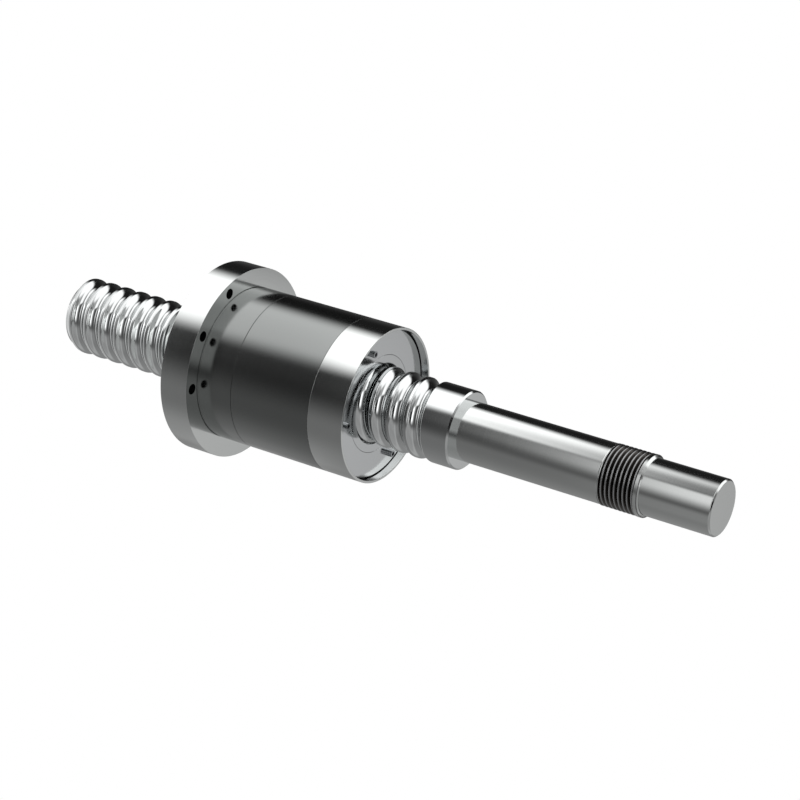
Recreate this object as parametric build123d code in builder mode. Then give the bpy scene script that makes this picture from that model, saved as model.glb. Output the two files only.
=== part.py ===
"""Ball screw with a flanged nut, right-hand thread, one ball circuit per turn with internal deflectors.

Frame: millimetres, the screw's axis is +X and points to the driven end, +Z is up.
The origin is on the axis, at the shoulder that a bearing's inner ring seats on.
"""
import math
import os

from build123d import *

# Ball thread
screw_diameter = 40.0
lead = 10.0
ball_diameter = 6.747
ball_circle_diameter = 41.75
ball_play = 0.4
groove_mouth_reach = 0.8
arch_ratio = 0.572
thread_end_distance = 24.1
thread_runout_angle = 300.0

# Screw, measured from the bearing shoulder
thread_side_length = 240.0
bearing_journal_diameter = 30.0
bearing_journal_length = 79.0
locknut_thread_diameter = 29.0
locknut_thread_length = 21.0
locknut_thread_chamfer = 0.4
drive_journal_diameter = 28.0
drive_journal_length = 37.0
shaft_edge_chamfer = 0.8

# Nut
nut_rest = 47.6
nut_diameter = 80.0
flange_ledge = 10.0
flange_thickness = 16.0
pilot_length = 20.0
sleeve_length = 46.5
end_ring_length = 20.0
nut_edge_chamfer = 0.5
seam_chamfer = 0.25
thread_bore_play = 0.6

# Flange holes: two groups of three, on both sides of the nut
flange_hole_diameter = 5.5
flange_hole_step = 35.0
flange_group_size = 3
flange_group_angle = 139.5

# Cover sleeve and end ring
sleeve_wall = 4.0
end_ring_wall = 1.3
sleeve_fit = 0.05
end_ring_fit = 0.1
end_ring_axial_play = 0.1

# End disc and its screws
recess_depth = 4.2
disc_thickness = 6.0
disc_edge_fit = 0.2
disc_screw_circle = 64.0
disc_screw_half_angle = 36.0
disc_screw_diameter = 3.5
disc_screw_head_diameter = 3.5
disc_screw_stand_out = 3.2
disc_screw_depth = 7.0
disc_screw_end_space = 1.0
disc_screw_socket = 2.0
disc_screw_socket_depth = 1.6
disc_screw_fit = 0.1
snap_ring_width = 1.0
snap_ring_bite = 0.4
snap_ring_height = 1.1
snap_ring_fit = 0.12
snap_ring_inset = 2.5

# Wipers
wiper_bore_diameter = 42.0
wiper_hub_diameter = 50.3
wiper_rim_diameter = 55.0
wiper_rim_thickness = 2.2
wiper_length = 8.2
wiper_fit = 0.1
wiper_pin_diameter = 1.6
wiper_pin_length = 5.0
wiper_pin_fit = 0.05
wiper_pin_angle = 50.0
wiper_pin_circle = 52.6
retaining_ring_width = 2.6
retaining_ring_thickness = 1.2
retaining_ring_bite = 1.0
retaining_ring_gap_angle = 40.0
retaining_ring_fit = 0.05
retaining_ring_inset = 1.6

# Ball circuits and deflectors
circuit_count = 3
circuit_spacing_turns = 4 / 3
last_circuit_inset = 12.4
crossing_half_angle = 36.0
crossing_lift = 3.0
lift_share = 0.8
crossing_hold = 0.15
channel_steps = 12
channel_reach_share = 1.5
channel_play = 0.3
deflector_length = 28.0
deflector_width = 19.0
deflector_fit = 0.1
ball_spacing_play = 0.5
circuit_steps = 720

# Seals and lubrication
seal_section = 1.4
seal_groove_width = 2.2
seal_fit = 0.05
sleeve_seal_inset = 2.5
disc_seal_diameter = 57.9
disc_seal_groove_width = 1.7
lube_port_inset = 8.0
lube_port_angle = 234.5
lube_port_diameter = 5.0
lube_plug_length = 3.0
lube_plug_recess = 0.7
lube_plug_socket = 2.5
lube_plug_fit = 0.05
lube_channel_diameter = 2.5

# Worked out from the sizes above
screw_radius = screw_diameter / 2
ball_radius = ball_diameter / 2
pitch_radius = ball_circle_diameter / 2
nut_radius = nut_diameter / 2
flange_radius = nut_radius + flange_ledge
flange_bolt_radius = nut_radius + flange_ledge / 2
core_radius = nut_radius - sleeve_wall
thread_bore_radius = screw_radius + thread_bore_play
ring_bore_radius = nut_radius - end_ring_wall
step_radius = ring_bore_radius - end_ring_fit
disc_radius = ring_bore_radius - disc_edge_fit
arch_radius = arch_ratio * ball_diameter
arch_shift = (arch_radius - ball_radius - ball_play) / math.sqrt(2)
channel_radius = ball_radius + channel_play

rim_x = -nut_rest
ring_x = rim_x - end_ring_length
sleeve_x = ring_x - sleeve_length
flange_front_x = sleeve_x - pilot_length
flange_back_x = flange_front_x - flange_thickness
disc_front_x = rim_x - recess_depth
disc_back_x = disc_front_x - disc_thickness
wiper_rear_x = flange_back_x + retaining_ring_inset + retaining_ring_thickness
wiper_rear_seat_x = wiper_rear_x + wiper_length
wiper_front_seat_x = disc_back_x - wiper_rim_thickness
locknut_thread_x = bearing_journal_length
drive_journal_x = locknut_thread_x + locknut_thread_length
shaft_end_x = drive_journal_x + drive_journal_length
shaft_free_x = -thread_side_length
wiper_pin_hole = wiper_pin_diameter / 2 + wiper_pin_fit
wiper_pin_depth = wiper_pin_length - wiper_rim_thickness + wiper_pin_fit


def groove_x(angle):
    """Centre of the ball groove at a total angle in degrees, counted on from the +Y side of its last turn."""
    return -thread_end_distance + lead * angle / 360


def groove_angle(x):
    """Total angle at which the ball groove passes the station x."""
    return 360 * (x + thread_end_distance) / lead


def polar(x, radius, angle):
    """Point at a station, radius and angle, where 0 degrees is +Y and 90 degrees is +Z."""
    turn = math.radians(angle)
    return (x, radius * math.cos(turn), radius * math.sin(turn))


def radial_plane(x, angle, radius):
    """Plane whose normal points outward at that angle, with its own x along the screw."""
    turn = math.radians(angle)
    normal = (0, math.cos(turn), math.sin(turn))
    return Plane(origin=polar(x, radius, angle), x_dir=(1, 0, 0), z_dir=normal)


def arch_face(x, mouth_radius, side):
    """Gothic arch across the groove, two arcs that meet in a ridge line at its bottom.

    side is -1 for the screw's groove, which opens outward, and 1 for the nut's, which opens inward.
    """
    centre = pitch_radius - side * arch_shift
    depth = math.sqrt(arch_radius**2 - arch_shift**2)
    half_width = math.sqrt(arch_radius**2 - (mouth_radius - centre) ** 2) - arch_shift
    bottom = (x, centre + side * depth)
    with BuildLine() as outline:
        for end in (-1, 1):
            middle = (x - end * arch_shift, centre)
            corner = (x + end * half_width, mouth_radius)
            start_turn = math.atan2(bottom[1] - middle[1], end * (bottom[0] - middle[0]))
            corner_turn = math.atan2(corner[1] - middle[1], end * (corner[0] - middle[0]))
            turn = (start_turn + corner_turn) / 2
            through = (
                middle[0] + end * arch_radius * math.cos(turn),
                middle[1] + arch_radius * math.sin(turn),
            )
            ThreePointArc(bottom, through, corner)
        Line((x - half_width, mouth_radius), (x + half_width, mouth_radius))
    make_face(outline.edges())


def cut_groove(start_angle, end_angle, mouth_radius, side):
    """Cuts the helical groove between two total angles. The helix starts on the +Z side."""
    first_turn = math.floor((start_angle - 90) / 360)
    start_x = groove_x(90 + 360 * first_turn)
    height = groove_x(end_angle) - start_x
    with BuildLine() as path:
        Helix(lead, height, pitch_radius, center=(start_x, 0, 0), direction=(1, 0, 0))
    with BuildSketch(Plane.XZ) as profile:
        arch_face(start_x, mouth_radius, side)
    sweep(sections=profile.sketch, path=path.wire(), is_frenet=True, mode=Mode.SUBTRACT)


def turned(points):
    """Revolves a closed outline of (x, radius) points around the screw's axis."""
    with BuildSketch(Plane.XZ) as profile:
        with BuildLine() as outline:
            Polyline(*points, close=True)
        make_face(outline.edges())
    revolve(profile.sketch, axis=Axis.X)


def tube(start_x, end_x, outer, inner, mode=Mode.ADD):
    """Adds or cuts a plain tube, or a cylinder where the inner radius is 0."""
    with BuildSketch(Plane.YZ.offset(start_x)) as section:
        Circle(outer)
        if inner:
            Circle(inner, mode=Mode.SUBTRACT)
    extrude(section.sketch, amount=end_x - start_x, mode=mode)


def drill(plane, radius, depth):
    """Cuts a round hole into the part along the plane's normal."""
    with BuildSketch(plane) as hole:
        Circle(radius)
    extrude(hole.sketch, amount=depth, mode=Mode.SUBTRACT)


def save(node, name):
    node.part.label = name
    export_step(node.part, f"parts/{name}.step")


def flange_hole_angles():
    """Both groups of flange holes, each spread evenly about its middle."""
    angles = []
    for side in (0, 180):
        for index in range(flange_group_size):
            offset = (index - (flange_group_size - 1) / 2) * flange_hole_step
            angles.append(flange_group_angle + side + offset)
    return angles


def disc_screw_angles():
    """A pair of screws on each side, in line with the flange's groups."""
    return [
        flange_group_angle + side + half * disc_screw_half_angle
        for side in (0, 180)
        for half in (-1, 1)
    ]


def circuit_angles():
    """Total angle of each circuit's deflector, from the flange towards the end disc."""
    last_x = disc_back_x - last_circuit_inset
    last_angle = groove_angle(last_x) - 180
    step = 360 * circuit_spacing_turns
    return [last_angle - step * back for back in reversed(range(circuit_count))]


def smooth(share):
    """Rises from 0 to 1 as half a cosine wave, with no jump in slope at its ends."""
    share = min(max(share, 0), 1)
    return (1 - math.cos(math.pi * share)) / 2


def crossing_point(deflector_angle, offset):
    """Centre of a ball in the deflector, offset degrees from its middle.

    The ball leaves the later turn, is lifted over the screw's land and drops into the turn before.
    At both ends it only rises, and it moves along the screw in between.
    """
    middle_x = groove_x(deflector_angle + 180)
    share = (offset + crossing_half_angle) / (2 * crossing_half_angle)
    side = 1 - 2 * smooth((share - crossing_hold) / (1 - 2 * crossing_hold))
    x = middle_x + lead * offset / 360 + lead / 2 * side
    near_end = (crossing_half_angle - abs(offset)) / (crossing_half_angle * lift_share)
    return polar(x, pitch_radius + crossing_lift * smooth(near_end), deflector_angle + offset)


def circuit_points(deflector_angle):
    """Ball centres of one closed circuit, evenly spaced along its path."""
    path = []
    for index in range(circuit_steps + 1):
        offset = 360 * index / circuit_steps - crossing_half_angle
        if offset <= crossing_half_angle:
            path.append(Vector(crossing_point(deflector_angle, offset)))
        else:
            angle = deflector_angle + offset
            path.append(Vector(polar(groove_x(angle), pitch_radius, angle)))
    lengths = [0]
    for before, after in zip(path, path[1:]):
        lengths.append(lengths[-1] + (after - before).length)
    count = math.floor(lengths[-1] / (ball_diameter + ball_spacing_play))
    centres = []
    for ball in range(count):
        target = lengths[-1] * ball / count
        index = next(i for i, length in enumerate(lengths) if length >= target)
        centres.append(path[index])
    return centres


# Screw: ball thread, bearing shoulder, bearing journal, locknut thread and drive journal
with BuildPart() as screw_shaft:
    shoulder_edge = screw_radius - shaft_edge_chamfer
    journal = bearing_journal_diameter / 2
    locknut = locknut_thread_diameter / 2
    drive = drive_journal_diameter / 2
    turned(
        [
            (shaft_free_x, 0),
            (shaft_free_x, screw_radius),
            (-shaft_edge_chamfer, screw_radius),
            (0, shoulder_edge),
            (0, journal),
            (locknut_thread_x, journal),
            (locknut_thread_x, locknut),
            (drive_journal_x - locknut_thread_chamfer, locknut),
            (drive_journal_x, locknut - locknut_thread_chamfer),
            (drive_journal_x, drive),
            (shaft_end_x - shaft_edge_chamfer, drive),
            (shaft_end_x, drive - shaft_edge_chamfer),
            (shaft_end_x, 0),
        ]
    )
    thread_start_angle = groove_angle(shaft_free_x - lead)
    cut_groove(thread_start_angle, thread_runout_angle, screw_radius + groove_mouth_reach, -1)
save(screw_shaft, "screw_shaft")

# Nut body: flange, pilot and the threaded core that the deflectors sit in
with BuildPart() as nut_body:
    flange_edge = flange_radius - nut_edge_chamfer
    turned(
        [
            (flange_back_x, thread_bore_radius),
            (flange_back_x, flange_edge),
            (flange_back_x + nut_edge_chamfer, flange_radius),
            (flange_front_x - nut_edge_chamfer, flange_radius),
            (flange_front_x, flange_edge),
            (flange_front_x, nut_radius),
            (sleeve_x - seam_chamfer, nut_radius),
            (sleeve_x, nut_radius - seam_chamfer),
            (sleeve_x, core_radius),
            (disc_back_x, core_radius),
            (disc_back_x, thread_bore_radius),
        ]
    )
    wiper_seat_radius = wiper_rim_diameter / 2 + wiper_fit
    tube(flange_back_x, wiper_rear_seat_x, wiper_seat_radius, 0, Mode.SUBTRACT)
    tube(wiper_front_seat_x, disc_back_x, wiper_seat_radius, 0, Mode.SUBTRACT)
    ring_groove_x = flange_back_x + retaining_ring_inset
    ring_groove_radius = wiper_seat_radius + retaining_ring_bite + retaining_ring_fit
    tube(
        ring_groove_x - retaining_ring_fit,
        ring_groove_x + retaining_ring_thickness,
        ring_groove_radius,
        0,
        Mode.SUBTRACT,
    )
    cut_groove(
        groove_angle(wiper_rear_seat_x - lead),
        groove_angle(wiper_front_seat_x + lead),
        thread_bore_radius - groove_mouth_reach,
        1,
    )
    for deflector_angle in circuit_angles():
        deflector_x = groove_x(deflector_angle + 180)
        with BuildSketch(radial_plane(deflector_x, deflector_angle, screw_radius / 2)) as window:
            SlotOverall(
                deflector_length + 2 * deflector_fit,
                deflector_width + 2 * deflector_fit,
                rotation=90,
            )
        extrude(window.sketch, amount=nut_radius, mode=Mode.SUBTRACT)
    for angle in flange_hole_angles():
        centre = polar(flange_back_x, flange_bolt_radius, angle)
        drill(Plane(origin=centre, z_dir=(1, 0, 0)), flange_hole_diameter / 2, flange_thickness)
    for angle in disc_screw_angles():
        centre = polar(disc_back_x, disc_screw_circle / 2, angle)
        drill(
            Plane(origin=centre, z_dir=(-1, 0, 0)),
            disc_screw_diameter / 2 + disc_screw_fit,
            disc_screw_depth + disc_screw_end_space,
        )
    seal_x = sleeve_x + sleeve_seal_inset
    sleeve_seal_radius = core_radius - seal_fit - seal_section / 2
    tube(
        seal_x - seal_groove_width / 2,
        seal_x + seal_groove_width / 2,
        core_radius + seal_fit,
        sleeve_seal_radius - seal_section / 2 - seal_fit,
        Mode.SUBTRACT,
    )
    for seat_x, direction in ((wiper_rear_seat_x, 1), (wiper_front_seat_x, -1)):
        centre = polar(seat_x, wiper_pin_circle / 2, wiper_pin_angle)
        drill(Plane(origin=centre, z_dir=(direction, 0, 0)), wiper_pin_hole, wiper_pin_depth)
    lube_port_x = ring_x - lube_port_inset
    drill(radial_plane(lube_port_x, lube_port_angle, pitch_radius), lube_channel_diameter / 2, nut_radius)
save(nut_body, "nut_body")

# Cover sleeve: closes the deflector windows and carries the end ring on its stepped end
with BuildPart() as cover_sleeve:
    sleeve_bore = core_radius + sleeve_fit
    turned(
        [
            (sleeve_x, sleeve_bore),
            (sleeve_x, nut_radius - seam_chamfer),
            (sleeve_x + seam_chamfer, nut_radius),
            (ring_x, nut_radius),
            (ring_x, step_radius),
            (disc_back_x, step_radius),
            (disc_back_x, sleeve_bore),
        ]
    )
    drill(radial_plane(lube_port_x, lube_port_angle, core_radius / 2), lube_port_diameter / 2, nut_radius)
save(cover_sleeve, "cover_sleeve")

# End ring: thin bright ring that stands past the end disc
snap_outer = ring_bore_radius + snap_ring_bite
snap_inner = snap_outer - snap_ring_height
snap_start_x = disc_front_x - snap_ring_inset
snap_end_x = snap_start_x + snap_ring_width
with BuildPart() as end_ring:
    ring_start = ring_x + end_ring_axial_play
    turned(
        [
            (ring_start, ring_bore_radius),
            (ring_start, nut_radius),
            (rim_x - nut_edge_chamfer, nut_radius),
            (rim_x, nut_radius - nut_edge_chamfer),
            (rim_x, ring_bore_radius),
        ]
    )
    tube(
        snap_start_x - snap_ring_fit,
        snap_end_x + snap_ring_fit,
        snap_outer + snap_ring_fit,
        0,
        Mode.SUBTRACT,
    )
save(end_ring, "end_ring")

# Snap ring: holds the end ring in place on the end disc
with BuildPart() as end_snap_ring:
    tube(snap_start_x, snap_end_x, snap_outer, snap_inner)
save(end_snap_ring, "end_snap_ring")

# End disc: polished cover that clamps the sleeve and the front wiper
with BuildPart() as end_disc:
    tube(disc_back_x, disc_front_x, disc_radius, wiper_hub_diameter / 2 + wiper_fit)
    tube(
        snap_start_x - snap_ring_fit,
        snap_end_x + snap_ring_fit,
        nut_radius,
        snap_inner - snap_ring_fit,
        Mode.SUBTRACT,
    )
    for angle in disc_screw_angles():
        centre = polar(disc_back_x, disc_screw_circle / 2, angle)
        drill(
            Plane(origin=centre, z_dir=(1, 0, 0)),
            disc_screw_diameter / 2 + disc_screw_fit,
            disc_thickness,
        )
    disc_seal_radius = disc_seal_diameter / 2
    tube(
        disc_back_x,
        disc_back_x + seal_section + seal_fit,
        disc_seal_radius + disc_seal_groove_width / 2,
        disc_seal_radius - disc_seal_groove_width / 2,
        Mode.SUBTRACT,
    )
save(end_disc, "end_disc")

# Screws of the end disc, which stand out of it by their sockets
with BuildPart() as end_disc_screws:
    for angle in disc_screw_angles():
        centre = polar(disc_back_x - disc_screw_depth, disc_screw_circle / 2, angle)
        shank = disc_screw_depth + disc_thickness
        with BuildSketch(Plane(origin=centre, z_dir=(1, 0, 0))) as shank_section:
            Circle(disc_screw_diameter / 2)
        extrude(shank_section.sketch, amount=shank)
        top = polar(disc_front_x, disc_screw_circle / 2, angle)
        with BuildSketch(Plane(origin=top, z_dir=(1, 0, 0))) as head_section:
            Circle(disc_screw_head_diameter / 2)
        extrude(head_section.sketch, amount=disc_screw_stand_out)
        socket_x = disc_front_x + disc_screw_stand_out - disc_screw_socket_depth
        socket = polar(socket_x, disc_screw_circle / 2, angle)
        with BuildSketch(Plane(origin=socket, z_dir=(1, 0, 0))) as socket_section:
            RegularPolygon(disc_screw_socket / 2, 6, major_radius=False)
        extrude(socket_section.sketch, amount=disc_screw_socket_depth, mode=Mode.SUBTRACT)
save(end_disc_screws, "end_disc_screws")

# Seal rings of square section, behind the end disc and under the sleeve
half_seal = seal_section / 2
with BuildPart() as end_disc_seal:
    outer = disc_seal_radius + half_seal
    tube(disc_back_x, disc_back_x + seal_section, outer, outer - seal_section)
save(end_disc_seal, "end_disc_seal")

with BuildPart() as sleeve_seal:
    outer = sleeve_seal_radius + half_seal
    tube(seal_x - half_seal, seal_x + half_seal, outer, outer - seal_section)
save(sleeve_seal, "sleeve_seal")

# Wipers: labyrinth rings whose rim is held in the nut body
wiper_bore = wiper_bore_diameter / 2
wiper_hub = wiper_hub_diameter / 2
wiper_rim = wiper_rim_diameter / 2
pin_x = {"front": disc_back_x, "rear": wiper_rear_seat_x - wiper_rim_thickness}
pin_direction = {"front": -1, "rear": 1}
with BuildPart() as wiper_front:
    turned(
        [
            (wiper_front_seat_x, wiper_bore),
            (wiper_front_seat_x, wiper_rim),
            (disc_back_x, wiper_rim),
            (disc_back_x, wiper_hub),
            (disc_front_x, wiper_hub),
            (disc_front_x, wiper_bore),
        ]
    )
    centre = polar(pin_x["front"], wiper_pin_circle / 2, wiper_pin_angle)
    drill(Plane(origin=centre, z_dir=(-1, 0, 0)), wiper_pin_hole, wiper_rim_thickness)
save(wiper_front, "wiper_front")

with BuildPart() as wiper_rear:
    tube(wiper_rear_x, wiper_rear_seat_x, wiper_rim, wiper_bore)
    centre = polar(pin_x["rear"], wiper_pin_circle / 2, wiper_pin_angle)
    drill(Plane(origin=centre, z_dir=(1, 0, 0)), wiper_pin_hole, wiper_rim_thickness)
save(wiper_rear, "wiper_rear")

# Dowel pins that keep the wipers from turning in the nut
for end in ("front", "rear"):
    with BuildPart() as wiper_pin:
        centre = polar(pin_x[end], wiper_pin_circle / 2, wiper_pin_angle)
        with BuildSketch(Plane(origin=centre, z_dir=(pin_direction[end], 0, 0))) as pin_section:
            Circle(wiper_pin_diameter / 2)
        extrude(pin_section.sketch, amount=wiper_pin_length)
    save(wiper_pin, f"wiper_{end}_pin")

# Retaining ring of the rear wiper, open at one side so that it can be sprung into its groove
with BuildPart() as rear_retaining_ring:
    ring_outer = ring_groove_radius - retaining_ring_fit
    with BuildSketch(Plane.YZ.offset(ring_groove_x)) as ring_section:
        Circle(ring_outer)
        Circle(ring_outer - retaining_ring_width, mode=Mode.SUBTRACT)
        with BuildLine() as gap:
            half_gap = math.radians(retaining_ring_gap_angle / 2)
            reach = 2 * ring_outer
            Polyline(
                (0, 0),
                (reach * math.cos(half_gap), reach * math.sin(half_gap)),
                (reach * math.cos(half_gap), -reach * math.sin(half_gap)),
                close=True,
            )
        make_face(mode=Mode.SUBTRACT)
    extrude(ring_section.sketch, amount=retaining_ring_thickness - retaining_ring_fit)
save(rear_retaining_ring, "rear_retaining_ring")

# Deflectors: each lifts the balls of one circuit over the screw's land, back to the turn before.
# All are one shape, turned and moved along the groove from the middle circuit's place.
home_angle = circuit_angles()[circuit_count // 2]
home_x = groove_x(home_angle + 180)
channel_reach = crossing_half_angle * channel_reach_share
channel_points = []
for index in range(channel_steps + 1):
    offset = channel_reach * (2 * index / channel_steps - 1)
    channel_points.append(crossing_point(home_angle, offset))
for number, deflector_angle in enumerate(circuit_angles(), start=1):
    with BuildPart() as deflector:
        with BuildSketch(radial_plane(home_x, home_angle, screw_radius / 2)) as outline:
            SlotOverall(deflector_length, deflector_width, rotation=90)
        extrude(outline.sketch, amount=nut_radius)
        tube(
            home_x - deflector_length,
            home_x + deflector_length,
            core_radius - deflector_fit,
            thread_bore_radius,
            Mode.INTERSECT,
        )
        with BuildLine() as channel_path:
            Spline(*channel_points)
        start_plane = Plane(origin=channel_path.line @ 0, z_dir=channel_path.line % 0)
        with BuildSketch(start_plane) as channel_section:
            Circle(channel_radius)
        sweep(sections=channel_section.sketch, path=channel_path.wire(), mode=Mode.SUBTRACT)
    turn = deflector_angle - home_angle
    deflector.part = deflector.part.moved(Location((lead * turn / 360, 0, 0), (turn, 0, 0)))
    save(deflector, f"deflector_{number}")

# Balls, one closed circuit for each deflector
for number, deflector_angle in enumerate(circuit_angles(), start=1):
    with BuildPart() as balls:
        with Locations(*circuit_points(deflector_angle)):
            Sphere(ball_radius)
    save(balls, f"ball_circuit_{number}")

# Grub screw that plugs the lubrication port
with BuildPart() as lube_plug:
    plug_top = nut_radius - lube_plug_recess
    plug_foot = plug_top - lube_plug_length
    with BuildSketch(radial_plane(lube_port_x, lube_port_angle, plug_foot)) as plug_section:
        Circle(lube_port_diameter / 2 - lube_plug_fit)
    extrude(plug_section.sketch, amount=lube_plug_length)
    socket_foot = plug_top - lube_plug_length / 2
    with BuildSketch(radial_plane(lube_port_x, lube_port_angle, socket_foot)) as plug_socket:
        RegularPolygon(lube_plug_socket / 2, 6, major_radius=False)
    extrude(plug_socket.sketch, amount=lube_plug_length, mode=Mode.SUBTRACT)
save(lube_plug, "lube_plug")
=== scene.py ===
"""Looks of a ground ball screw with a flanged nut: turned and ground steel round its solids.

Everything stands in the solids' frame. The part's sizes are in millimetres until its meshes are
made, and the studio's are in metres. The screw's axis is +X, and angles run from +Y over +Z.
"""
import math

import bmesh
import bpy
import numpy as np
from mathutils import Matrix, Vector


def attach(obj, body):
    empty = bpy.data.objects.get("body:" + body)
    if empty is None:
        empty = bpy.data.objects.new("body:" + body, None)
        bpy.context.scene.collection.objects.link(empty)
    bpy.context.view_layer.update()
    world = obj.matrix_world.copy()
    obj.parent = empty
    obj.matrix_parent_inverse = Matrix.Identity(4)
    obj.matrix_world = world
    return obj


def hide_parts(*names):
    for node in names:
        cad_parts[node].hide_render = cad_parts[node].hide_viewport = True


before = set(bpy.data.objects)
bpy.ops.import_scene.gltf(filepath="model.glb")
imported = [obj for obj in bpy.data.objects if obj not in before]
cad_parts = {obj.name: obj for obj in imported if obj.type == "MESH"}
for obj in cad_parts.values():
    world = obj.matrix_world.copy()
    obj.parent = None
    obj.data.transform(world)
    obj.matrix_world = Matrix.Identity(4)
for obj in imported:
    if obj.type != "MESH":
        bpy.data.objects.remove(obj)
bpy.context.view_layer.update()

MM = 0.001
TURN = 2 * math.pi
TURN_DEGREES = 360.0

# Ball thread, as on the solid but with rounded lands. THREAD_END is how far before the shoulder
# the groove's middle lies at angle 0 of its last turn, and the groove then fades out over the
# two angles of the runout, in degrees.
THREAD_RADIUS = 20.0
LEAD = 10.0
PITCH_RADIUS = 20.875
ARCH_RADIUS = 3.859
ARCH_SHIFT = 0.061
ARCH_STEEPEST = 0.93
LAND_ROUND = 1.4
THREAD_END = 24.1
RUNOUT_START = 235.0
RUNOUT_END = 300.0
FREE_END = -240.0

# Grid of the ball thread: its rows lie closest at the groove's edges
THREAD_COLUMNS = 108
GROOVE_ROWS = 17
GROOVE_INSET = 1.35
EDGE_ROWS = 10
EDGE_REACH = 1.1
TURNS_PAST_SHOULDER = 4

# Journals, and how far the shaft's pieces reach into each other
JOURNAL_RADIUS = 15.0
JOURNAL_LENGTH = 79.0
DRIVE_RADIUS = 14.0
SHAFT_END = 137.0
SHAFT_CHAMFER = 0.8
SHAFT_OVERLAP = 0.5

# Locknut thread. Its real pitch is 2 mm, about four pixels, which is too fine for each crest to
# show, so it is drawn a little coarser.
LOCKNUT_LENGTH = 21.0
LOCKNUT_END = JOURNAL_LENGTH + LOCKNUT_LENGTH
LOCKNUT_PITCH = 2.3
LOCKNUT_CREST = 15.3
LOCKNUT_ROOT = 14.1
LOCKNUT_STRETCH = 1.25
LOCKNUT_LOWERING = 0.05
LOCKNUT_COLUMNS = 96
LOCKNUT_STEPS = 12

# Plain rings at the ends of the locknut thread: name, start, end, top radius, radius at the end
LOCKNUT_RINGS = (
    ("locknut_start_ring", JOURNAL_LENGTH - 0.1, JOURNAL_LENGTH + 0.7, 15.2, 15.2),
    ("locknut_end_ring", LOCKNUT_END - 1.9, LOCKNUT_END + 0.5, 15.35, LOCKNUT_ROOT),
)
LOCKNUT_RING_BORE = 13.0
LOCKNUT_RING_TOP_SHARE = 0.6

# Nut body with its flange. The pilot's seat in the flange is hidden inside.
NUT_RADIUS = 40.0
NUT_BORE = 20.5
BARREL_RADIUS = 36.0
FLANGE_RADIUS = 50.0
FLANGE_BORE = 27.6
FLANGE_BACK = -150.1
FLANGE_SEAT = -139.1
FLANGE_FRONT = -134.1
RELIEF_DEPTH = 0.3
RELIEF_WIDTH = 1.0
BOLT_CIRCLE_RADIUS = 45.0
BOLT_HOLE_RADIUS = 2.75
BOLT_GROUP_ANGLE = 139.5
BOLT_STEP = 35.0

# Cover sleeve with its lubrication port
SLEEVE_START = -114.1
SLEEVE_BORE = 36.05
SLEEVE_SPIGOT = 38.6
SEAM_HALF = 0.13
PORT_STATION = -75.6
PORT_ANGLE = 234.5
PORT_RADIUS = 2.5
PORT_DEPTH_RADIUS = 36.2

# Open end: rim, disc and wiper
RING_START = -67.6
RIM_SEAM = 0.1
RIM_BORE = 38.7
RIM_END = -47.6
DISC_FRONT = -51.8
DISC_BACK = -57.8
DISC_RADIUS = 38.5
DISC_BORE = 25.25
COVER_EDGE = 38.1
COVER_STEP = 1.2
WIPER_BORE = 21.0
WIPER_HUB = 25.15
WIPER_RIM = 27.5
WIPER_RIM_DEPTH = 2.2

# Radius of each kind of corner, its largest share of an edge, and the steps of its arc
JOURNAL_ROUND = 0.3
DRIVE_ROUND = 0.15
COVER_ROUND = 0.12
EDGE_ROUND = 0.06
LOCKNUT_RING_ROUND = 0.05
CORNER_SHARE = 0.45
ARC_STEPS = 4

# Meshing: segments, how far cutters reach past a face, what counts as a hole's wall, the
# distances under which points and edges merge, and the angles past which an edge is sharp
RING_SEGMENTS = 192
HOLE_SEGMENTS = 48
CUT_BEYOND = 1.0
SLANTED = (0.0, 0.6, 0.8)
WALL_NEAR = 1.02
WALL_ACROSS = 0.5
MERGE_DISTANCE = 0.002
THIN_EDGE = 0.001
ON_AXIS = 1e-6
SHARP_ANGLE = 32.0
BALL_THREAD_SHARP = 40.0
LOCKNUT_SHARP = 50.0

# Finish. Grinding and polishing marks are a few hundredths of a millimetre apart on the real
# steel, too fine to show at about half a millimetre a pixel, so they are drawn coarser here.
POLISH_MARKS = 0.3
GRIND_MARKS = 0.4
MARK_DEPTH = 0.02
MARK_DETAIL = 3.0
MARK_LOW = 0.3
MARK_HIGH = 0.7
SMOOTH = 0.01
UNEVEN = 0.02

# Distances from the axis between which the colour turns dark as painted shade: in the gap at the
# disc's edge, and from the locknut thread's crests to its roots
DISC_EDGE_PAINTED_SHADE = (38.0, 38.15)
THREAD_ROOT_PAINTED_SHADE = (15.25, 15.0)

# A Mix node's colour sockets, whose names repeat
MIX_FACTOR = 0
MIX_FIRST = 6
MIX_SECOND = 7
MIX_RESULT = 2

# Studio, in metres and degrees
TENT_RADIUS = 1.6
TENT_HALF_LENGTH = 9.0
TENT_START = -28.0
TENT_END = 332.0
TENT_ROWS = 178
TENT_COLUMNS = 241
DIM_PAPER = 0.015
FLOOR_HALF = 6.0
FLOOR_LEVEL = -1.7
FLOOR_CORNERS = ((-1, -1), (1, -1), (1, 1), (-1, 1))
SKY_LIGHT = 0.5
WHITE = 1.0

# Camera, fitted to the photo's circles and outlines
CAMERA_PLACE = Vector((0.522608, -0.866392, 0.550254))
CAMERA_YAW = -32.9766
CAMERA_PITCH = -27.8076
CAMERA_LENS = 106.5
CAMERA_SENSOR = 36.0


def socket_set(node, name, value):
    """Sets a socket's plain value, or links another node's output to it."""
    if isinstance(value, bpy.types.NodeSocket):
        node.id_data.links.new(value, node.inputs[name])
    else:
        node.inputs[name].default_value = value


def add_node(tree, kind, inputs=None, **settings):
    """Adds one node with its settings, socket values and links."""
    node = tree.nodes.new(kind)
    for name, value in settings.items():
        setattr(node, name, value)
    for name, value in (inputs or {}).items():
        socket_set(node, name, value)
    return node


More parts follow.
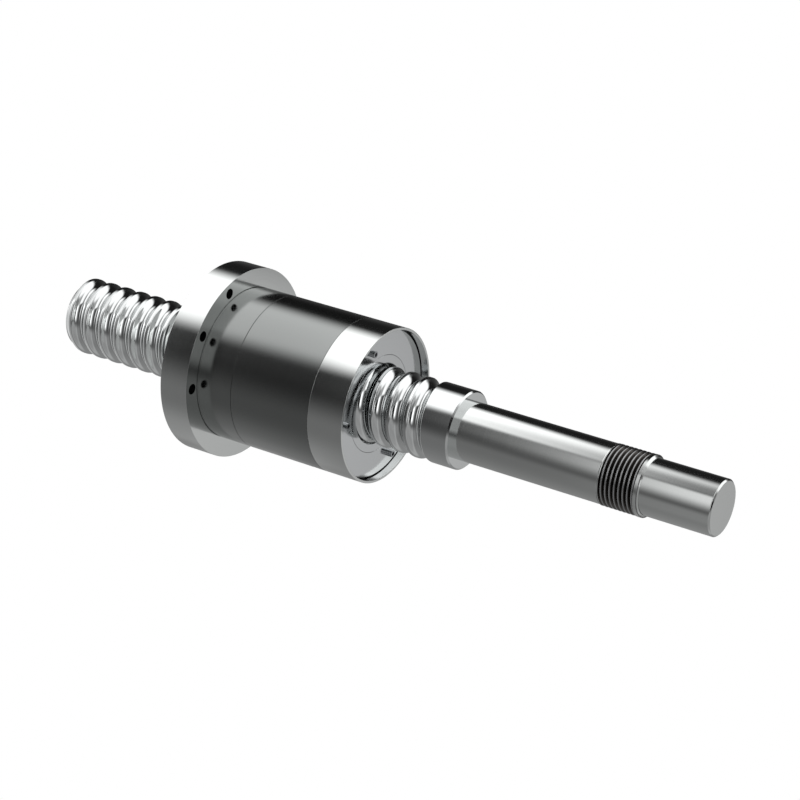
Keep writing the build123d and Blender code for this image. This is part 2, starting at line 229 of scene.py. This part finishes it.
def linear(code):
    """Turns an sRGB hex colour to linear values."""
    parts = [int(code[i : i + 2], 16) / 255 for i in (1, 3, 5)]
    return [p / 12.92 if p <= 0.04045 else ((p + 0.055) / 1.055) ** 2.4 for p in parts] + [1.0]


def ramp(value, start, end):
    """Rises smoothly from 0 at start to 1 at end: 3 s^2 - 2 s^3 of the share s in between."""
    share = np.clip((value - start) / (end - start), 0, 1)
    return share * share * (3 - 2 * share)


def band(value, rise, fall):
    """Rises from 0 to 1 over the pair rise, and falls back to 0 over the pair fall."""
    return ramp(value, *rise) * (1 - ramp(value, *fall))


def polar(radius, angle):
    """Place (r cos a, r sin a) across the screw, for an angle in degrees."""
    turn = math.radians(angle)
    return radius * math.cos(turn), radius * math.sin(turn)


def steel(name, colour, roughness, marks, unevenness, shade=None):
    """Turned or ground steel: fine rings round the screw's axis, uneven in height and gloss.

    The rings are noise stretched round the axis: its coordinates are the station along the
    screw and the distance from the axis, so one scratch runs all the way round, and marks is
    their spacing in millimetres. With shade, which is two distances from the axis in
    millimetres and a colour, the colour turns to that one between them: this is painted shade,
    which darkens gaps and thread roots.
    """
    material = bpy.data.materials.new(name)
    material.use_nodes = True
    tree = material.node_tree
    shader = tree.nodes["Principled BSDF"]
    place = add_node(tree, "ShaderNodeTexCoord").outputs["Object"]
    axes = add_node(tree, "ShaderNodeSeparateXYZ", {"Vector": place}).outputs
    squares = [
        add_node(tree, "ShaderNodeMath", {0: axes[axis], 1: axes[axis]}, operation="MULTIPLY")
        for axis in ("Y", "Z")
    ]
    summed = {index: square.outputs[0] for index, square in enumerate(squares)}
    both = add_node(tree, "ShaderNodeMath", summed, operation="ADD").outputs[0]
    distance = add_node(tree, "ShaderNodeMath", {0: both}, operation="SQRT").outputs[0]
    rings = add_node(tree, "ShaderNodeCombineXYZ", {"X": axes["X"], "Y": distance}).outputs[0]
    scratches = add_node(
        tree,
        "ShaderNodeTexNoise",
        {"Vector": rings, "Scale": 1 / (marks * MM), "Detail": MARK_DETAIL},
    ).outputs["Fac"]
    gloss = add_node(
        tree,
        "ShaderNodeMapRange",
        {
            "Value": scratches,
            "From Min": MARK_LOW,
            "From Max": MARK_HIGH,
            "To Min": roughness - unevenness,
            "To Max": roughness + unevenness,
        },
    )
    height = add_node(
        tree,
        "ShaderNodeBump",
        {"Height": scratches, "Strength": unevenness, "Distance": MARK_DEPTH * MM},
    )
    socket_set(shader, "Base Color", linear(colour))
    if shade:
        first, second, shade_colour = shade
        depth = add_node(
            tree,
            "ShaderNodeMapRange",
            {"Value": distance, "From Min": first * MM, "From Max": second * MM},
        )
        mixed = add_node(
            tree,
            "ShaderNodeMix",
            {
                MIX_FACTOR: depth.outputs[0],
                MIX_FIRST: linear(colour),
                MIX_SECOND: linear(shade_colour),
            },
            data_type="RGBA",
        )
        socket_set(shader, "Base Color", mixed.outputs[MIX_RESULT])
    socket_set(shader, "Metallic", 1.0)
    socket_set(shader, "Roughness", gloss.outputs[0])
    socket_set(shader, "Normal", height.outputs["Normal"])
    return material


def plain(name, colour, roughness):
    """Even finish of a small piece that isn't metal."""
    material = bpy.data.materials.new(name)
    material.use_nodes = True
    shader = material.node_tree.nodes["Principled BSDF"]
    socket_set(shader, "Base Color", linear(colour))
    socket_set(shader, "Roughness", roughness)
    return material


# Bearing steel, hardened, ground and polished: almost a mirror, so lamps show as crisp lines
polished_thread = steel("polished_ball_thread_steel", "#cfd1d1", 0.08, POLISH_MARKS, SMOOTH)
# The same steel, ground between centres: a satin mirror that blurs lamps into soft bands
ground_journal = steel("ground_journal_steel", "#cbcdcc", 0.12, GRIND_MARKS, UNEVEN)
# Alloy steel, finely turned and left bare: pale, with bands as soft as on the journals
turned_bright = steel("bright_turned_steel", "#cbcdcc", 0.11, GRIND_MARKS, UNEVEN)
# Case-hardened steel, ground and left oily: mid grey, with wider and dimmer bands
dark_ground = steel("dark_ground_nut_steel", "#838584", 0.17, GRIND_MARKS, UNEVEN)
# Steel disc with a finely faced and polished front: pale and even, with painted shade, black, in
# the gap at its edge
polished_face = steel(
    "polished_face_steel", "#c9cbcc", 0.13, GRIND_MARKS, SMOOTH, (*DISC_EDGE_PAINTED_SHADE, "#0c0c0d")
)
# Thread cut with a single point and left oily: grey crests, and painted shade that makes the roots
# nearly black
dark_thread = steel(
    "cut_locknut_thread_steel",
    "#979899",
    0.25,
    POLISH_MARKS,
    UNEVEN,
    (*THREAD_ROOT_PAINTED_SHADE, "#3f3c3a"),
)
# Screw steel, blackened in hot alkaline salts: dark, with a low oily sheen
black_oxide = steel("black_oxide_screw_steel", "#4a4c4d", 0.28, POLISH_MARKS, UNEVEN)
# Screw steel, zinc plated: light grey, duller than the disc round it
bright_screw = steel("plated_screw_steel", "#a6a8aa", 0.2, POLISH_MARKS, UNEVEN)
# Wall of a drilled hole, torn by the drill: matt, and nearly black with painted shade
hole_wall_painted_shade = steel("hole_wall_steel_painted_shade", "#202122", 0.5, POLISH_MARKS, UNEVEN)
# Acetal, turned from grey rod: opaque, with a waxy sheen
grey_acetal = plain("turned_acetal_grey", "#7d8082", 0.45)
# Acetal, moulded in its natural colour: warm white, smooth and waxy
white_acetal = plain("moulded_acetal_natural", "#e4e0d2", 0.4)
# Nitrile rubber, moulded: black and matt
rubber = plain("moulded_nitrile_rubber", "#18191a", 0.6)


def make_piece(name, points, faces, material, body, replaces=(), sharp=SHARP_ANGLE):
    """Mesh object from arrays of points in millimetres and of faces, with shared points merged."""
    mesh = bpy.data.meshes.new(name)
    mesh.from_pydata((points * MM).tolist(), [], faces.tolist())
    work = bmesh.new()
    work.from_mesh(mesh)
    bmesh.ops.remove_doubles(work, verts=work.verts, dist=MERGE_DISTANCE * MM)
    bmesh.ops.dissolve_degenerate(work, edges=work.edges, dist=THIN_EDGE * MM)
    bmesh.ops.recalc_face_normals(work, faces=work.faces)
    work.to_mesh(mesh)
    work.free()
    mesh.shade_smooth()
    mesh.set_sharp_from_angle(angle=math.radians(sharp))
    piece = bpy.data.objects.new(name, mesh)
    bpy.context.scene.collection.objects.link(piece)
    piece.data.materials.append(material)
    weights = piece.modifiers.new("even_shading", "WEIGHTED_NORMAL")
    weights.keep_sharp = True
    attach(piece, body)
    if replaces:
        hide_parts(*replaces)
    return piece


def grid_faces(rows, columns, closed_rows=False, closed_columns=False):
    """Quads between neighbouring points of a grid of rows by columns."""
    row = np.arange(rows if closed_rows else rows - 1)
    column = np.arange(columns if closed_columns else columns - 1)
    r, c = np.meshgrid(row, column, indexing="ij")
    r_next = (r + 1) % rows
    c_next = (c + 1) % columns
    corners = [
        r * columns + c,
        r * columns + c_next,
        r_next * columns + c_next,
        r_next * columns + c,
    ]
    return np.stack(corners, axis=-1).reshape(-1, 4)


def rounded(profile, radius):
    """Closed outline of (x, r) points with each corner off the axis rounded by an arc.

    Each arc is a quadratic curve from the incoming edge to the outgoing edge:
    (1-t)^2 a + 2t(1-t) b + t^2 c.
    """
    points = np.array(profile, float)
    t = np.linspace(0, 1, ARC_STEPS + 1)[:, None]
    result = []
    for index, corner in enumerate(points):
        if corner[1] < ON_AXIS:
            result.append(corner)
            continue
        back = points[index - 1] - corner
        ahead = points[(index + 1) % len(points)] - corner
        back_length, ahead_length = np.linalg.norm(back), np.linalg.norm(ahead)
        cut = min(radius, back_length * CORNER_SHARE, ahead_length * CORNER_SHARE)
        start = corner + back / back_length * cut
        end = corner + ahead / ahead_length * cut
        result.extend((1 - t) ** 2 * start + 2 * t * (1 - t) * corner + t**2 * end)
    return np.array(result)


def turned_piece(name, profile, rounding, material, body, replaces=()):
    """Surface of revolution: (x, r cos a, r sin a) over the outline's points and the angle a."""
    outline = rounded(profile, rounding)
    angle = np.arange(RING_SEGMENTS) * TURN / RING_SEGMENTS
    x = np.repeat(outline[:, :1], RING_SEGMENTS, axis=1)
    y = outline[:, 1:] * np.cos(angle)
    z = outline[:, 1:] * np.sin(angle)
    points = np.stack([x, y, z], axis=-1).reshape(-1, 3)
    faces = grid_faces(len(outline), RING_SEGMENTS, closed_rows=True, closed_columns=True)
    return make_piece(name, points, faces, material, body, replaces)


def thread_piece(name, points, caps, material, sharp, replaces=()):
    """Helical grid of points that is closed at both ends towards the axis.

    caps gives for each end its rings, from the grid's last row inwards, as pairs of a station
    and a share s: the ring's points are (station, s y, s z) of that row's points (x, y, z).
    """
    blocks = [points.reshape(-1, 3)]
    faces = [grid_faces(*points.shape[:2])]
    for row, rings in zip((points[0], points[-1]), caps):
        stack = [row]
        for station, share in rings:
            stack.append(np.column_stack([np.full(len(row), station), row[:, 1:] * share]))
        faces.append(grid_faces(len(stack), len(row)) + sum(len(block) for block in blocks))
        blocks.append(np.concatenate(stack))
    return make_piece(
        name,
        np.concatenate(blocks),
        np.concatenate(faces),
        material,
        "screw",
        replaces,
        sharp,
    )


def groove_radius(offset):
    """Radius of the thread's surface at an axial offset from the groove's middle, in millimetres.

    In the groove it is centre - sqrt(R^2 - (|offset| + shift)^2), which is a gothic arch. Past
    its steepest point the arch runs on along its tangent, and a smooth minimum of the arch and
    the land rounds the land's edge: h = 1/2 + (land - arch) / 2 round, clipped to 0 and 1, and
    the radius is land (1 - h) + arch h - round h (1 - h).
    """
    centre = PITCH_RADIUS + ARCH_SHIFT
    reach = np.abs(offset) + ARCH_SHIFT
    steepest = ARCH_STEEPEST * ARCH_RADIUS
    slope = steepest / math.sqrt(ARCH_RADIUS**2 - steepest**2)
    inside = np.minimum(reach, steepest)
    arch = centre - np.sqrt(ARCH_RADIUS**2 - inside**2) + slope * (reach - inside)
    blend = np.clip(0.5 + 0.5 * (THREAD_RADIUS - arch) / LAND_ROUND, 0, 1)
    return THREAD_RADIUS * (1 - blend) + arch * blend - LAND_ROUND * blend * (1 - blend)


def ball_thread():
    """Helical surface: point (x, R cos a, R sin a) with x = start + lead * a / turn + offset.

    The offsets of the rows follow the groove, R is the groove's radius at that offset, and it
    turns smoothly into the plain thread radius where the groove runs out. x is clipped at the
    two chamfers, whose rings and flat faces close the ends.
    """
    angle = np.linspace(0, TURN, THREAD_COLUMNS + 1)
    travel = LEAD * angle[None, :] / TURN
    mouth_height = PITCH_RADIUS + ARCH_SHIFT - THREAD_RADIUS
    half_width = math.sqrt(ARCH_RADIUS**2 - mouth_height**2) - ARCH_SHIFT
    inside = np.linspace(-1, 1, GROOVE_ROWS) * (half_width - GROOVE_INSET)
    edge = half_width + np.linspace(-EDGE_REACH, EDGE_REACH, EDGE_ROWS)
    offsets = np.sort(np.concatenate([inside, edge, -edge, [LEAD / 2]]))
    first_turn = math.floor((FREE_END + THREAD_END) / LEAD) - 1
    turns = np.arange(first_turn, TURNS_PAST_SHOULDER)
    rows = (turns[:, None] * LEAD + offsets[None, :]).reshape(-1)
    x = -THREAD_END + rows[:, None] + travel
    x = np.clip(x, FREE_END + SHAFT_CHAMFER, -SHAFT_CHAMFER)
    nearest = (x + THREAD_END - travel + LEAD / 2) % LEAD - LEAD / 2
    degrees_on = (x + THREAD_END - nearest) * TURN_DEGREES / LEAD
    runout = ramp(degrees_on, RUNOUT_START, RUNOUT_END)
    radius = groove_radius(nearest) * (1 - runout) + THREAD_RADIUS * runout
    points = np.stack([x, radius * np.cos(angle), radius * np.sin(angle)], axis=-1)
    chamfer_share = (THREAD_RADIUS - SHAFT_CHAMFER) / THREAD_RADIUS
    caps = [((end, chamfer_share), (end, 0)) for end in (FREE_END, 0.0)]
    thread_piece(
        "ball_thread", points, caps, polished_thread, BALL_THREAD_SHARP, ("screw_shaft",)
    )


def locknut_thread():
    """Fine thread: a helical ridge with the radius root + (crest - root) h over each pitch.

    With p the share of the pitch that is passed, h is the triangle 1 - |2 p - 1|, stretched,
    lowered and cut off at 0 and 1, so that roots and crests are flat.
    """
    angle = np.linspace(0, TURN, LOCKNUT_COLUMNS + 1)
    row_count = int((LOCKNUT_LENGTH / LOCKNUT_PITCH + 2) * LOCKNUT_STEPS) + 1
    turns = np.arange(row_count) / LOCKNUT_STEPS - 1
    x = JOURNAL_LENGTH + LOCKNUT_PITCH * (turns[:, None] + angle[None, :] / TURN)
    x = np.clip(x, JOURNAL_LENGTH, LOCKNUT_END)
    phase = ((x - JOURNAL_LENGTH) / LOCKNUT_PITCH - angle[None, :] / TURN) % 1.0
    triangle = 1 - np.abs(2 * phase - 1)
    ridge = np.clip(triangle * LOCKNUT_STRETCH - LOCKNUT_LOWERING, 0, 1)
    radius = LOCKNUT_ROOT + (LOCKNUT_CREST - LOCKNUT_ROOT) * ridge
    points = np.stack([x, radius * np.cos(angle), radius * np.sin(angle)], axis=-1)
    caps = [((end, 0),) for end in (JOURNAL_LENGTH, LOCKNUT_END)]
    thread_piece("locknut_thread", points, caps, dark_thread, LOCKNUT_SHARP)


def hole_cutter(holes, radius, name):
    """One mesh of closed cylinders: start or end + radius * (across cos a + upward sin a)."""
    angle = np.arange(HOLE_SEGMENTS)[:, None] * TURN / HOLE_SEGMENTS
    around = np.arange(HOLE_SEGMENTS)
    blocks, faces = [], []
    for index, (start, along, end) in enumerate(holes):
        base = index * 2 * HOLE_SEGMENTS
        across = np.cross(along, SLANTED)
        across = across / np.linalg.norm(across)
        ring = radius * (across * np.cos(angle) + np.cross(along, across) * np.sin(angle))
        blocks.append(np.concatenate([start + ring, end + ring]))
        faces.extend((grid_faces(2, HOLE_SEGMENTS, closed_columns=True) + base).tolist())
        faces.append((around[::-1] + base).tolist())
        faces.append((around + base + HOLE_SEGMENTS).tolist())
    mesh = bpy.data.meshes.new(name)
    mesh.from_pydata((np.concatenate(blocks) * MM).tolist(), [], faces)
    work = bmesh.new()
    work.from_mesh(mesh)
    bmesh.ops.recalc_face_normals(work, faces=work.faces)
    work.to_mesh(mesh)
    work.free()
    cutter = bpy.data.objects.new(name, mesh)
    bpy.context.scene.collection.objects.link(cutter)
    return cutter


def is_wall(middles, facing, start, along, radius):
    """True for the faces that lie within a hole's radius of its line and face across it."""
    apart = middles - start
    apart = apart - (apart @ along)[:, None] * along
    near = np.linalg.norm(apart, axis=1) < radius * WALL_NEAR
    return near & (np.abs(facing @ along) < WALL_ACROSS)


def bored(piece, ends, radius, name):
    """Cuts round holes with one boolean, and gives their walls a dark finish, which is painted
    shade.

    ends gives each hole's start and end point in millimetres.
    """
    holes = []
    for start, end in ends:
        start, end = np.array(start, float), np.array(end, float)
        holes.append((start, (end - start) / np.linalg.norm(end - start), end))
    cutter = hole_cutter(holes, radius, name)
    cut = piece.modifiers.new("holes", "BOOLEAN")
    cut.operation = "DIFFERENCE"
    cut.object = cutter
    cut.solver = "EXACT"
    weights = piece.modifiers["even_shading"]
    weights.show_viewport = False
    piece.modifiers.move(len(piece.modifiers) - 1, 0)
    bpy.context.view_layer.update()
    seen = piece.evaluated_get(bpy.context.evaluated_depsgraph_get())
    result = bpy.data.meshes.new_from_object(seen)
    result.materials.append(hole_wall_painted_shade)
    middles = np.zeros(len(result.polygons) * 3)
    facing = np.zeros(len(result.polygons) * 3)
    result.polygons.foreach_get("center", middles)
    result.polygons.foreach_get("normal", facing)
    middles, facing = middles.reshape(-1, 3) / MM, facing.reshape(-1, 3)
    for start, along, _ in holes:
        for index in np.flatnonzero(is_wall(middles, facing, start, along, radius)):
            result.polygons[index].material_index = len(result.materials) - 1
    piece.modifiers.remove(cut)
    piece.data = result
    piece.data.shade_smooth()
    piece.data.set_sharp_from_angle(angle=math.radians(SHARP_ANGLE))
    weights.show_viewport = True
    bpy.data.objects.remove(cutter)


# Screw
ball_thread()
turned_piece(
    "bearing_journal",
    [
        (-SHAFT_OVERLAP, 0),
        (-SHAFT_OVERLAP, JOURNAL_RADIUS),
        (JOURNAL_LENGTH, JOURNAL_RADIUS),
        (JOURNAL_LENGTH, 0),
    ],
    JOURNAL_ROUND,
    ground_journal,
    "screw",
)
locknut_thread()
for ring_name, ring_start, ring_end, ring_top, ring_foot in LOCKNUT_RINGS:
    turned_piece(
        ring_name,
        [
            (ring_start, LOCKNUT_RING_BORE),
            (ring_start, ring_top),
            (ring_start + (ring_end - ring_start) * LOCKNUT_RING_TOP_SHARE, ring_top),
            (ring_end, ring_foot),
            (ring_end, LOCKNUT_RING_BORE),
        ],
        LOCKNUT_RING_ROUND,
        turned_bright,
        "screw",
    )
turned_piece(
    "drive_journal",
    [
        (LOCKNUT_END - SHAFT_OVERLAP, 0),
        (LOCKNUT_END - SHAFT_OVERLAP, DRIVE_RADIUS),
        (SHAFT_END - SHAFT_CHAMFER, DRIVE_RADIUS),
        (SHAFT_END, DRIVE_RADIUS - SHAFT_CHAMFER),
        (SHAFT_END, 0),
    ],
    DRIVE_ROUND,
    ground_journal,
    "screw",
)

# Nut
flange = turned_piece(
    "nut_flange",
    [
        (FLANGE_BACK, FLANGE_BORE),
        (FLANGE_BACK, FLANGE_RADIUS),
        (FLANGE_FRONT, FLANGE_RADIUS),
        (FLANGE_FRONT, BARREL_RADIUS),
        (FLANGE_SEAT, BARREL_RADIUS),
        (FLANGE_SEAT, FLANGE_BORE),
    ],
    EDGE_ROUND,
    turned_bright,
    "nut",
    ("nut_body",),
)
bolt_angles = [
    BOLT_GROUP_ANGLE + side + step * BOLT_STEP for side in (0, 180) for step in (-1, 0, 1)
]
bolt_places = [polar(BOLT_CIRCLE_RADIUS, angle) for angle in bolt_angles]
bored(
    flange,
    [
        ((FLANGE_BACK - CUT_BEYOND, *place), (FLANGE_FRONT + CUT_BEYOND, *place))
        for place in bolt_places
    ],
    BOLT_HOLE_RADIUS,
    "bolt_hole_cutter",
)
turned_piece(
    "nut_pilot",
    [
        (FLANGE_SEAT, NUT_BORE),
        (FLANGE_SEAT, BARREL_RADIUS),
        (FLANGE_FRONT, BARREL_RADIUS),
        (FLANGE_FRONT, NUT_RADIUS - RELIEF_DEPTH),
        (FLANGE_FRONT + RELIEF_WIDTH, NUT_RADIUS - RELIEF_DEPTH),
        (FLANGE_FRONT + RELIEF_WIDTH, NUT_RADIUS),
        (SLEEVE_START - SEAM_HALF, NUT_RADIUS),
        (SLEEVE_START - SEAM_HALF, BARREL_RADIUS),
        (DISC_BACK, BARREL_RADIUS),
        (DISC_BACK, NUT_BORE),
    ],
    EDGE_ROUND,
    dark_ground,
    "nut",
    ("nut_body",),
)
sleeve = turned_piece(
    "nut_sleeve",
    [
        (SLEEVE_START + SEAM_HALF, SLEEVE_BORE),
        (SLEEVE_START + SEAM_HALF, NUT_RADIUS),
        (RING_START, NUT_RADIUS),
        (RING_START, SLEEVE_SPIGOT),
        (DISC_BACK, SLEEVE_SPIGOT),
        (DISC_BACK, SLEEVE_BORE),
    ],
    EDGE_ROUND,
    dark_ground,
    "nut",
    ("cover_sleeve",),
)
port_mouth = polar(NUT_RADIUS + 2 * CUT_BEYOND, PORT_ANGLE)
port_floor = polar(PORT_DEPTH_RADIUS, PORT_ANGLE)
bored(
    sleeve,
    [((PORT_STATION, *port_mouth), (PORT_STATION, *port_floor))],
    PORT_RADIUS,
    "lube_port_cutter",
)
turned_piece(
    "end_rim",
    [
        (RING_START + RIM_SEAM, RIM_BORE),
        (RING_START + RIM_SEAM, NUT_RADIUS),
        (RIM_END, NUT_RADIUS),
        (RIM_END, RIM_BORE),
    ],
    COVER_ROUND,
    turned_bright,
    "nut_carriage",
    ("end_ring",),
)
turned_piece(
    "end_cover",
    [
        (DISC_BACK, DISC_BORE),
        (DISC_BACK, DISC_RADIUS),
        (DISC_FRONT - COVER_STEP, DISC_RADIUS),
        (DISC_FRONT - COVER_STEP, COVER_EDGE),
        (DISC_FRONT, COVER_EDGE),
        (DISC_FRONT, DISC_BORE),
    ],
    COVER_ROUND,
    polished_face,
    "nut",
    ("end_disc",),
)
# The photo shows the wiper's face as pale and even as the disc's, so it has the same finish
turned_piece(
    "front_wiper",
    [
        (DISC_BACK - WIPER_RIM_DEPTH, WIPER_BORE),
        (DISC_BACK - WIPER_RIM_DEPTH, WIPER_RIM),
        (DISC_BACK, WIPER_RIM),
        (DISC_BACK, WIPER_HUB),
        (DISC_FRONT, WIPER_HUB),
        (DISC_FRONT, WIPER_BORE),
    ],
    COVER_ROUND,
    polished_face,
    "nut",
    ("wiper_front",),
)

# Finishes of the solids that stand as they are
FINISHES = {
    "end_disc_screws": bright_screw,
    "lube_plug": black_oxide,
    "wiper_rear": grey_acetal,
    "rear_retaining_ring": black_oxide,
    "end_snap_ring": black_oxide,
    "end_disc_seal": rubber,
    "sleeve_seal": rubber,
    "wiper_front_pin": black_oxide,
    "wiper_rear_pin": black_oxide,
    "deflector_1": white_acetal,
    "deflector_2": white_acetal,
    "deflector_3": white_acetal,
    "ball_circuit_1": polished_thread,
    "ball_circuit_2": polished_thread,
    "ball_circuit_3": polished_thread,
}
for node, material in FINISHES.items():
    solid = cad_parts[node]
    solid.data.materials.clear()
    solid.data.materials.append(material)


# The studio is a white world over a white floor, with a tent of curved paper round the part. In
# the functions of its light, phi is the angle round the screw in degrees, 0 behind it, 90 above
# and 180 in front, x is the station in metres, and 1 is the light of white paper.


def left_box(phi, x):
    """Soft box overhead on the left. Its back edge slants, and a veil dims it over the flange."""
    start = 42.5 + 20.5 * (x + 1.17) + 4 * ramp(x, -0.66, -0.5) + 2 * ramp(-x, 1.1, 1.17)
    end = 114.5 + 16 * np.clip(-0.85 - x, 0, 0.4)
    softness = 7 + 7 * ramp(-x, 0.75, 0.95)
    near_edge = -0.5 - 0.172 * ramp(phi, 62, 99)
    light = 0.85 + 1.1 * ramp(x, -1.5, -1.2)
    light = light * band(phi, (start - 13, start + 13), (end - softness, end + softness))
    light = light * (1 - ramp(x, near_edge - 0.31, near_edge + 0.31))
    veil = np.clip((phi - 45) / 60, 0, 1) * band(-x, (0.98, 1.04), (1.11, 1.17))
    return light * (1 - 0.33 * veil)


def right_box(phi, x):
    """Soft box overhead on the right. It reaches lower behind there, and dims towards its end."""
    start = 36 - 34 * np.clip(x, -0.5, 1.0)
    near_edge = -0.05 + 0.008 * np.maximum(phi - 65, 0)
    light = 1.6 * band(phi, (start - 8, start + 8), (110, 119)) * ramp(x, -0.58, near_edge)
    light = light * (1 - 0.68 * ramp(x, 0.75, 1.1) * ramp(phi, 55, 82))
    return light * (1 - 0.6 * ramp(x, 2.2, 2.8))


def lamp_and_window(phi, x):
    """Small lamp in front of the gap between the boxes, or a window in front on the right."""
    fall = np.exp(-((np.maximum(-0.49 - x, 0) / 0.17) ** 1.3))
    lamp = 1.15 * fall * (1 - ramp(x, -0.46, -0.02)) * band(phi, (112, 124), (138, 185))
    window = 0.12 * ramp(x, -0.1, 0.4) + 0.5 * ramp(x, 0.5, 0.9) + 1.3 * ramp(x, 0.9, 1.4)
    window = window * (1 - ramp(x, 2.2, 2.6)) * band(phi, (108, 120), (158, 182))
    return np.maximum(lamp, window)


def far_left(phi, x):
    """Pale wall far to the left, which the free end of the thread mirrors. It darkens downwards."""
    light = (1.1 * ramp(-x, 1.25, 1.45) + 1.1 * ramp(-x, 1.5, 1.8)) * ramp(phi, 108, 120)
    return light * (1 - 0.75 * ramp(phi, 115, 195))


def table_light(phi, x):
    """Pale table below, with brighter patches on its right, on its left and under the flange."""
    light = 0.195 * ramp(phi, 154, 202) + 0.08 * ramp(phi, 205, 285)
    right_patch = ramp(x, -0.7, -0.5) * ramp(phi, 180, 200) * (1 - 0.6 * ramp(phi, 215, 240))
    left_patch = ramp(-x, 0.85, 1.1) * band(phi, (215, 250), (275, 295))
    flange_patch = ramp(phi, 225, 280) * band(-x, (0.99, 1.04), (1.11, 1.15))
    return light + 0.11 * right_patch + 0.1 * left_patch + 0.14 * flange_patch


def back_and_side_light(phi, x):
    """Dim paper behind the part, and a paler wall past the driven end."""
    behind = 0.06 * (1 - ramp(phi, -22, 16))
    behind = behind + 0.1 * ramp(x, -0.75, -0.5) * (1 - ramp(phi, -30, -6))
    around = np.maximum(ramp(phi, 175, 200), 1 - ramp(phi, 0, 40))
    side = 0.2 * ramp(x, 0.4, 0.75) * (1 - 0.5 * ramp(x, 0.9, 1.3)) * around
    return behind + side + 0.12 * ramp(x, 0.72, 0.92) * ramp(phi, 300, 320)


def tent_light(phi, x):
    """Light of the tent: two soft boxes overhead, a lamp and a window in front, and dim paper."""
    lights = (left_box, right_box, lamp_and_window, far_left, table_light, back_and_side_light)
    return DIM_PAPER + sum(light(phi, x) for light in lights)


def light_tent():
    """Point (x, R cos phi, R sin phi) over a grid, with the light as a value at each point.

    The stations are the cubes of even steps, so they lie closest at the part.
    """
    stations = TENT_HALF_LENGTH * np.linspace(-1, 1, TENT_COLUMNS) ** 3
    phi, x = np.meshgrid(np.linspace(TENT_START, TENT_END, TENT_ROWS), stations, indexing="ij")
    turn = np.radians(phi)
    points = np.stack([x, TENT_RADIUS * np.cos(turn), TENT_RADIUS * np.sin(turn)], axis=-1)
    mesh = bpy.data.meshes.new("light_tent")
    mesh.from_pydata(points.reshape(-1, 3).tolist(), [], grid_faces(*phi.shape).tolist())
    layer = mesh.attributes.new("light", "FLOAT", "POINT")
    layer.data.foreach_set("value", tent_light(phi, x).reshape(-1).astype(np.float32))
    tent = bpy.data.objects.new("light_tent", mesh)
    bpy.context.scene.collection.objects.link(tent)
    # Translucent paper, lit from outside: it only glows
    material = bpy.data.materials.new("lit_paper")
    material.use_nodes = True
    tree = material.node_tree
    tree.nodes.clear()
    painted = add_node(tree, "ShaderNodeAttribute", attribute_name="light")
    glow = add_node(tree, "ShaderNodeEmission", {"Strength": painted.outputs["Fac"]})
    add_node(tree, "ShaderNodeOutputMaterial", {"Surface": glow.outputs[0]})
    mesh.materials.append(material)
    tent.visible_camera = False
    tent.visible_shadow = False


def seen_directly(tree):
    """1 for camera, glossy and transmission rays, so that the part stands and mirrors on white."""
    path = add_node(tree, "ShaderNodeLightPath").outputs
    rays = {0: path["Is Camera Ray"], 1: path["Is Glossy Ray"]}
    seen = add_node(tree, "ShaderNodeMath", rays, operation="MAXIMUM").outputs[0]
    rays = {0: seen, 1: path["Is Transmission Ray"]}
    return add_node(tree, "ShaderNodeMath", rays, operation="MAXIMUM").outputs[0]


def white_floor():
    """Pale floor under the part, plain white where it is seen or mirrored."""
    mesh = bpy.data.meshes.new("floor")
    corners = [(x * FLOOR_HALF, y * FLOOR_HALF, FLOOR_LEVEL) for x, y in FLOOR_CORNERS]
    mesh.from_pydata(corners, [], [(0, 1, 2, 3)])
    floor = bpy.data.objects.new("floor", mesh)
    bpy.context.scene.collection.objects.link(floor)
    # Matt white paint: it returns nearly all light, without gloss
    material = bpy.data.materials.new("white_floor")
    material.use_nodes = True
    tree = material.node_tree
    tree.nodes.clear()
    matt = add_node(tree, "ShaderNodeBsdfDiffuse", {"Color": linear("#f4f4f4")}).outputs[0]
    white = add_node(tree, "ShaderNodeEmission", {"Strength": WHITE}).outputs[0]
    shown = add_node(tree, "ShaderNodeMixShader", {0: seen_directly(tree), 1: matt, 2: white})
    add_node(tree, "ShaderNodeOutputMaterial", {"Surface": shown.outputs[0]})
    mesh.materials.append(material)


def white_world():
    """White sky where it is seen or mirrored, which lights the part at a lower level."""
    world = bpy.data.worlds.new("studio")
    bpy.context.scene.world = world
    world.use_nodes = True
    tree = world.node_tree
    tree.nodes.clear()
    level = add_node(
        tree,
        "ShaderNodeMapRange",
        {"Value": seen_directly(tree), "To Min": SKY_LIGHT, "To Max": WHITE},
    )
    colour = linear("#ffffff")
    sky = add_node(
        tree, "ShaderNodeBackground", {"Color": colour, "Strength": level.outputs[0]}
    )
    add_node(tree, "ShaderNodeOutputWorld", {"Surface": sky.outputs[0]})


def photo_camera():
    """Camera at the photo's viewing angle.

    It looks along (sin yaw cos pitch, cos yaw cos pitch, sin pitch), with its right side level.
    """
    yaw, pitch = math.radians(CAMERA_YAW), math.radians(CAMERA_PITCH)
    ahead = Vector(
        (math.sin(yaw) * math.cos(pitch), math.cos(yaw) * math.cos(pitch), math.sin(pitch))
    )
    right = Vector((math.cos(yaw), -math.sin(yaw), 0))
    above = right.cross(ahead)
    data = bpy.data.cameras.new("camera")
    data.lens = CAMERA_LENS
    data.sensor_width = CAMERA_SENSOR
    camera = bpy.data.objects.new("camera", data)
    turned = Matrix((right, above, -ahead)).transposed().to_4x4()
    camera.matrix_world = Matrix.Translation(CAMERA_PLACE) @ turned
    bpy.context.scene.collection.objects.link(camera)
    return camera


light_tent()
white_floor()
white_world()
bpy.context.scene.camera = photo_camera()
bpy.context.scene.view_settings.view_transform = "Standard"
